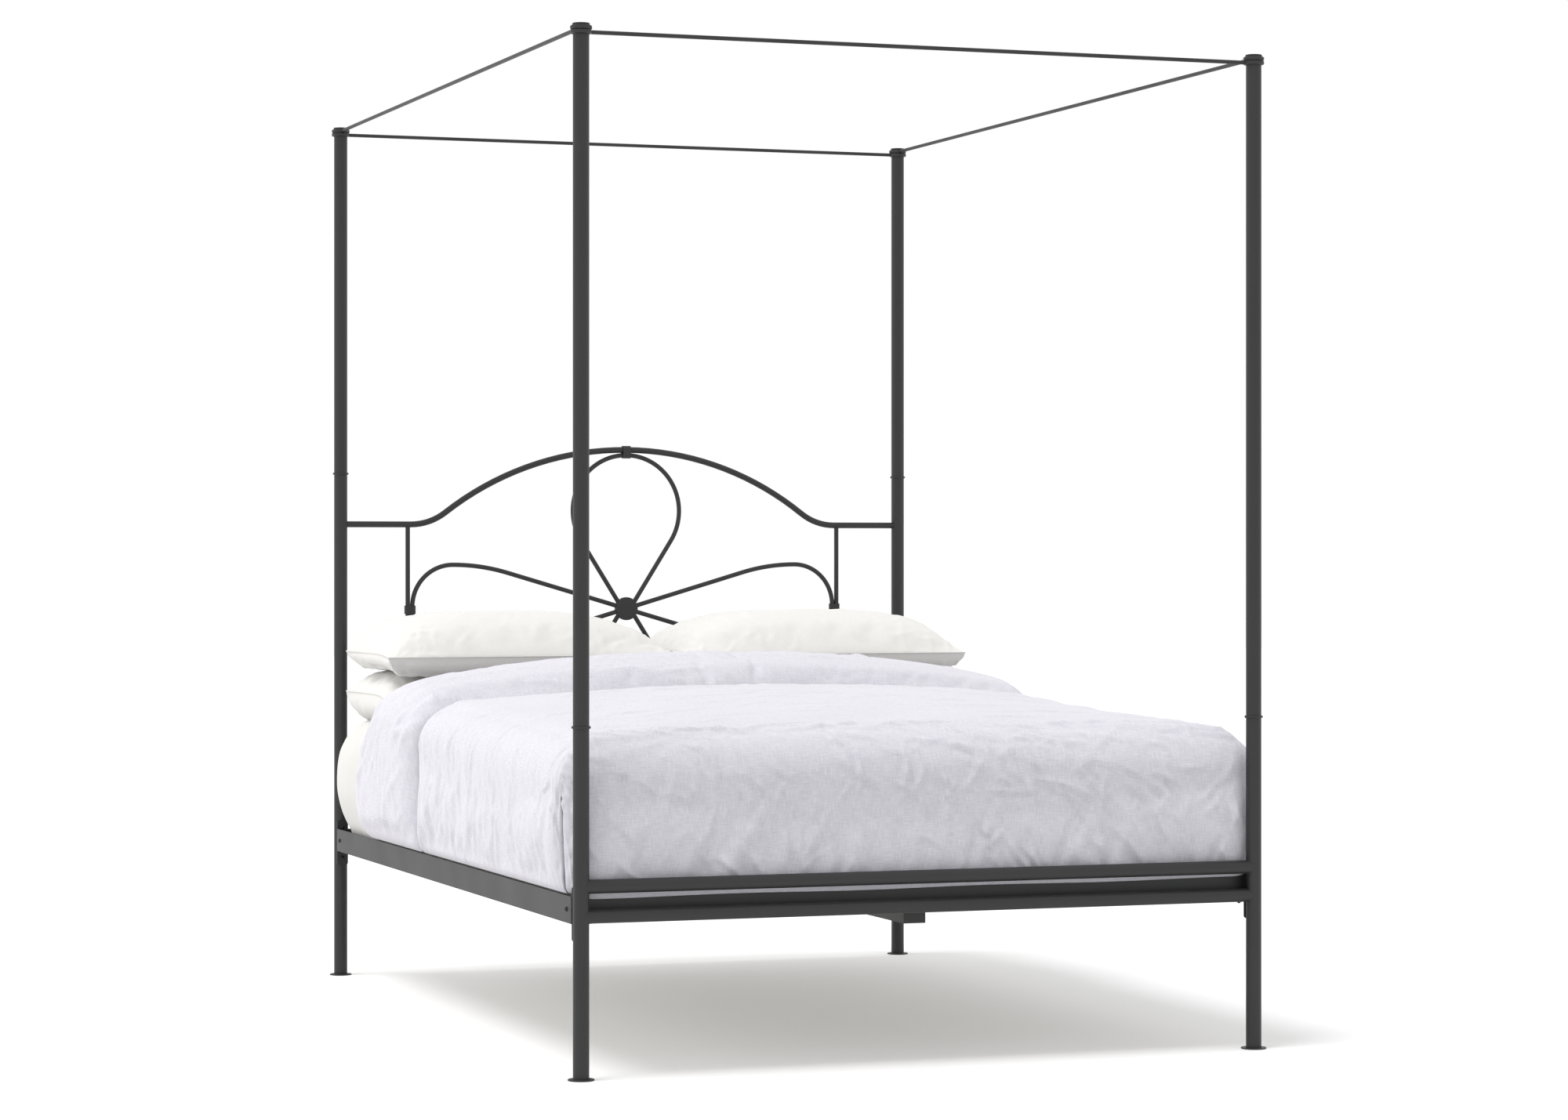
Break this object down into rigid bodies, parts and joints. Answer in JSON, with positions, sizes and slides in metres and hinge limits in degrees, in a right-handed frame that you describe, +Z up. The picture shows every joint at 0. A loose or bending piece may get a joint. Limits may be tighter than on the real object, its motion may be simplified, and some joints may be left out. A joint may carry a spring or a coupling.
{
  "type": "four-poster bed",
  "caption": "Slim black steel four-poster bed: tall round posts, rod canopy, arched headboard with a petal motif, foot rails, slatted base, mattress, duvet and stacked pillows.",
  "frame": {"origin": "on the floor, at the middle of the four posts", "axes": "+X to the right of someone standing at the foot, +Y from the foot to the headboard, +Z up"},
  "size_m": [1.5922, 2.167, 2.1532],
  "materials": {
    "frame_coat": "satin black powder coat",
    "fastener_steel": "black oxide",
    "glide_plastic": "matt black",
    "slat_wood": "plain sanded softwood",
    "sheet_cotton": "white woven cotton",
    "duvet_linen": "pale lavender grey linen",
    "pillow_cotton": "off-white cotton"
  },
  "bodies": {
    "frame": {"canopy_rail_foot": "frame_coat", "canopy_rail_head": "frame_coat", "canopy_rail_left": "frame_coat", "canopy_rail_right": "frame_coat", "centre_beam": "frame_coat", "corner_bracket_foot_left": "frame_coat", "corner_bracket_foot_right": "frame_coat", "corner_bracket_head_left": "frame_coat", "corner_bracket_head_right": "frame_coat", "crossbar_bolts": "fastener_steel", "crossbar_foot": "frame_coat", "crossbar_head": "frame_coat", "foot_rail_lower": "frame_coat", "foot_rail_upper": "frame_coat", "frame_nuts": "fastener_steel", "glide_foot_left": "glide_plastic", "glide_foot_right": "glide_plastic", "glide_head_left": "glide_plastic", "glide_head_right": "glide_plastic", "headboard_arch_rail": "frame_coat", "headboard_clamp_left": "frame_coat", "headboard_clamp_lower": "frame_coat", "headboard_clamp_right": "frame_coat", "headboard_clamp_upper": "frame_coat", "headboard_hub": "frame_coat", "headboard_lower_rail": "frame_coat", "headboard_petal_left": "frame_coat", "headboard_petal_lower": "frame_coat", "headboard_petal_right": "frame_coat", "headboard_petal_upper": "frame_coat", "headboard_upright_left": "frame_coat", "headboard_upright_right": "frame_coat", "post_bolts": "fastener_steel", "post_cap_foot_left": "frame_coat", "post_cap_foot_right": "frame_coat", "post_cap_head_left": "frame_coat", "post_cap_head_right": "frame_coat", "post_connector_foot_left": "frame_coat", "post_connector_foot_right": "frame_coat", "post_connector_head_left": "frame_coat", "post_connector_head_right": "frame_coat", "post_lower_foot_left": "frame_coat", "post_lower_foot_right": "frame_coat", "post_lower_head_left": "frame_coat", "post_lower_head_right": "frame_coat", "post_top_studs": "frame_coat", "post_upper_foot_left": "frame_coat", "post_upper_foot_right": "frame_coat", "post_upper_head_left": "frame_coat", "post_upper_head_right": "frame_coat", "rail_bolts": "fastener_steel", "side_rail_left": "frame_coat", "side_rail_right": "frame_coat", "slats": "slat_wood"},
    "mattress": {"mattress": "sheet_cotton"},
    "duvet": {"duvet": "duvet_linen"},
    "pillow_lower_left": {"pillow_lower_left": "pillow_cotton"},
    "pillow_lower_right": {"pillow_lower_right": "pillow_cotton"},
    "pillow_upper_left": {"pillow_upper_left": "pillow_cotton"},
    "pillow_upper_right": {"pillow_upper_right": "pillow_cotton"}
  },
  "joints": [
    {"name": "mattress_lift", "type": "slide", "parent": "frame", "child": "mattress", "axis": [0, 0, 1], "range_m": [0, 0.3]},
    {"name": "duvet_lift", "type": "slide", "parent": "mattress", "child": "duvet", "axis": [0, 0, 1], "range_m": [0, 0.3]},
    {"name": "pillow_lower_left_lift", "type": "slide", "parent": "mattress", "child": "pillow_lower_left", "axis": [0, 0, 1], "range_m": [0, 0.3]},
    {"name": "pillow_lower_right_lift", "type": "slide", "parent": "mattress", "child": "pillow_lower_right", "axis": [0, 0, 1], "range_m": [0, 0.3]},
    {"name": "pillow_upper_left_lift", "type": "slide", "parent": "pillow_lower_left", "child": "pillow_upper_left", "axis": [0, 0, 1], "range_m": [0, 0.3]},
    {"name": "pillow_upper_right_lift", "type": "slide", "parent": "pillow_lower_right", "child": "pillow_upper_right", "axis": [0, 0, 1], "range_m": [0, 0.3]}
  ]
}
